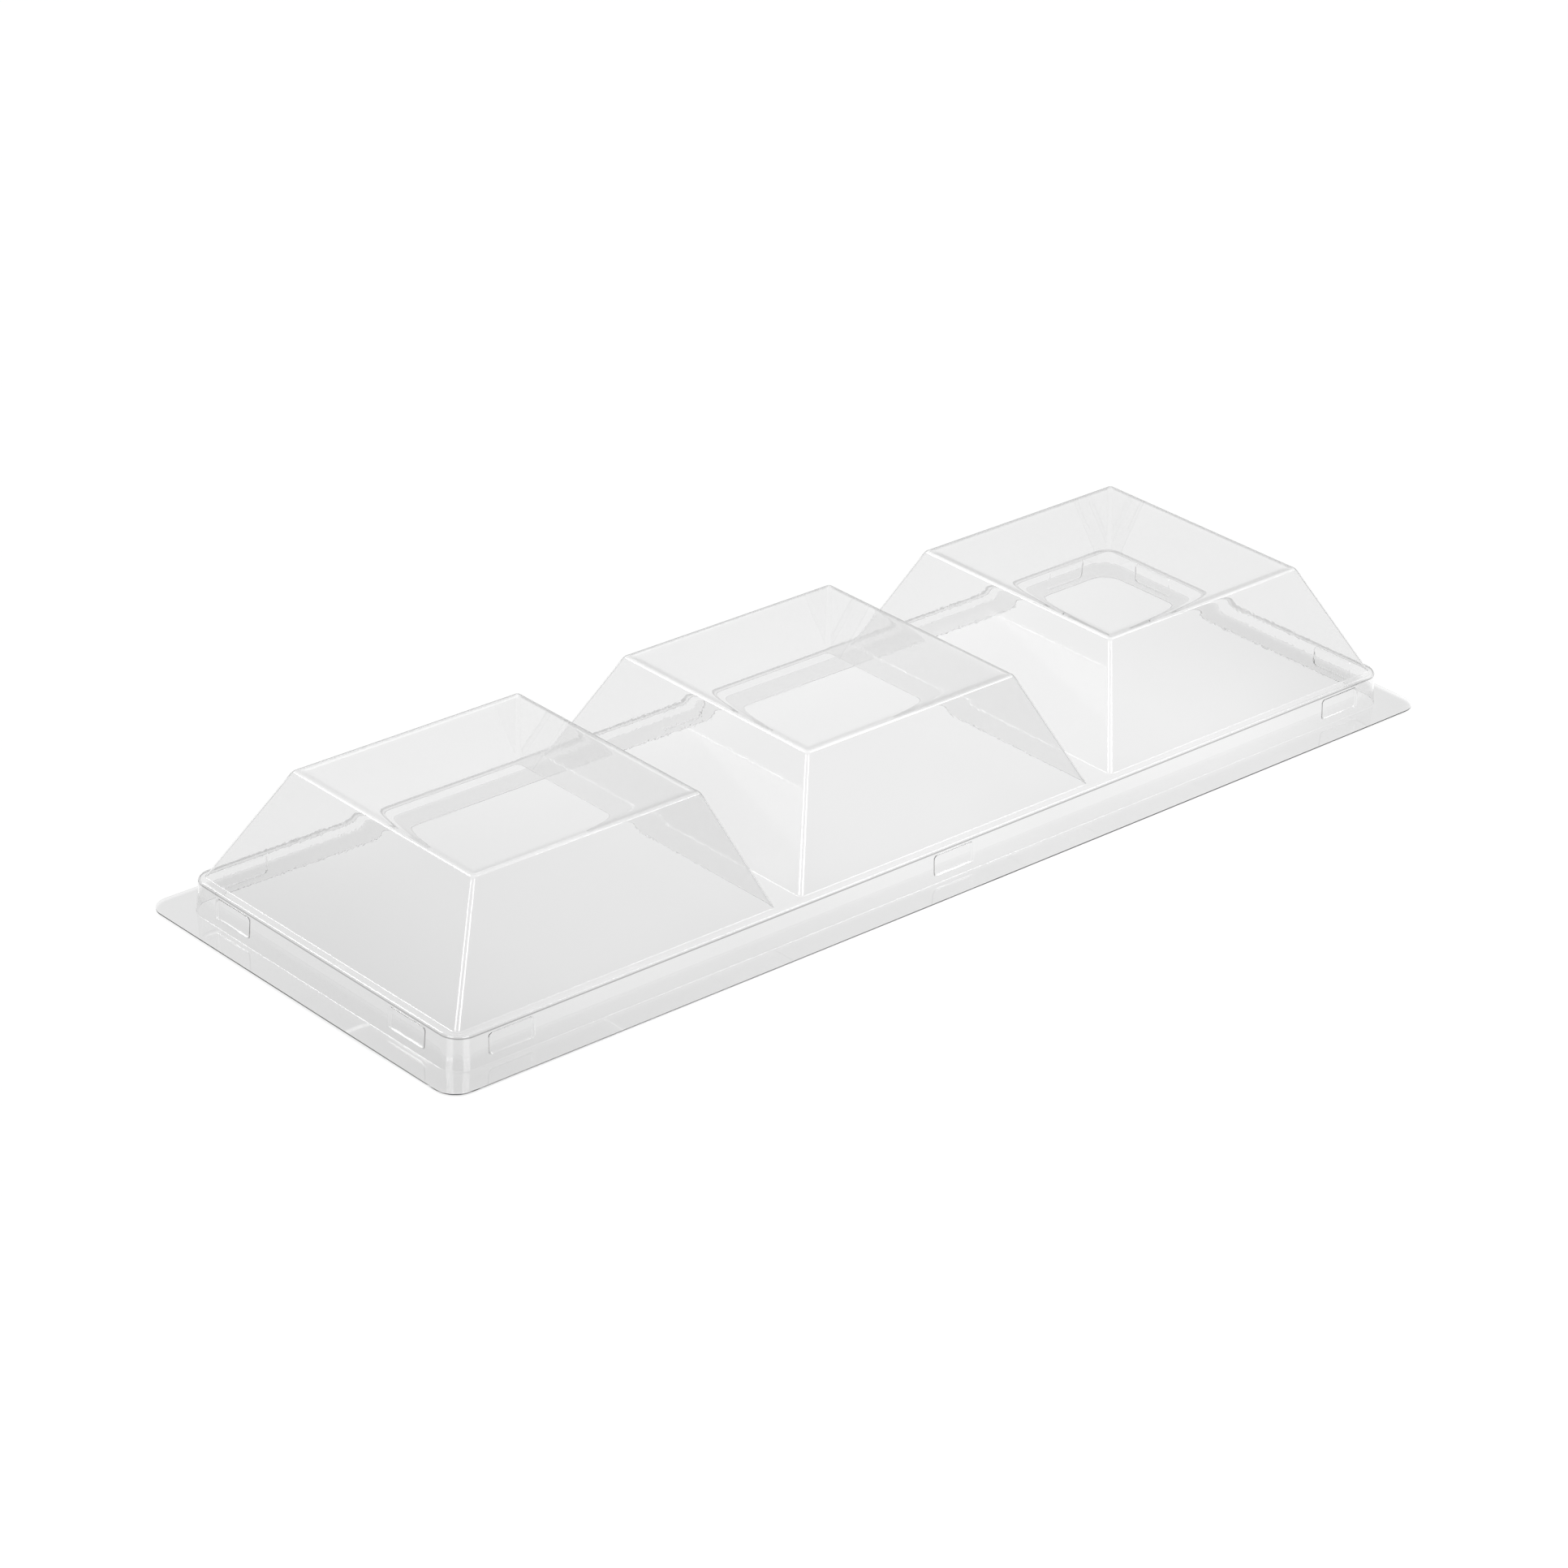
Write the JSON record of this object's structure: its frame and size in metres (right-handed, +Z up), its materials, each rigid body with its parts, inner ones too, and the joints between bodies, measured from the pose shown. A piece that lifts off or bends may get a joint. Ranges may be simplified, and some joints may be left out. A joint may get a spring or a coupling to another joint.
{
  "type": "humidity dome",
  "caption": "Clear thermoformed humidity dome lid for a seedling tray: a row of square domes with sloping walls on a narrow deck, with a low skirt, inward snap lugs and a flat flange.",
  "frame": {"origin": "the middle of the sheet on the underside of its flange, where it rests", "axes": "+X along the row of domes, +Y across it to the rear, +Z up through the domes"},
  "size_m": [0.3356, 0.1212, 0.0397],
  "materials": {
    "clear_sheet": "clear, glossy"
  },
  "bodies": {
    "root": {"deck_web": "clear_sheet", "dome_left": "clear_sheet", "dome_middle": "clear_sheet", "dome_right": "clear_sheet", "flange_rim": "clear_sheet", "skirt_wall": "clear_sheet", "snap_lug_front_left": "clear_sheet", "snap_lug_front_middle": "clear_sheet", "snap_lug_front_right": "clear_sheet", "snap_lug_left_end_front": "clear_sheet", "snap_lug_left_end_rear": "clear_sheet", "snap_lug_rear_left": "clear_sheet", "snap_lug_rear_middle": "clear_sheet", "snap_lug_rear_right": "clear_sheet", "snap_lug_right_end_front": "clear_sheet", "snap_lug_right_end_rear": "clear_sheet"}
  },
  "joints": []
}
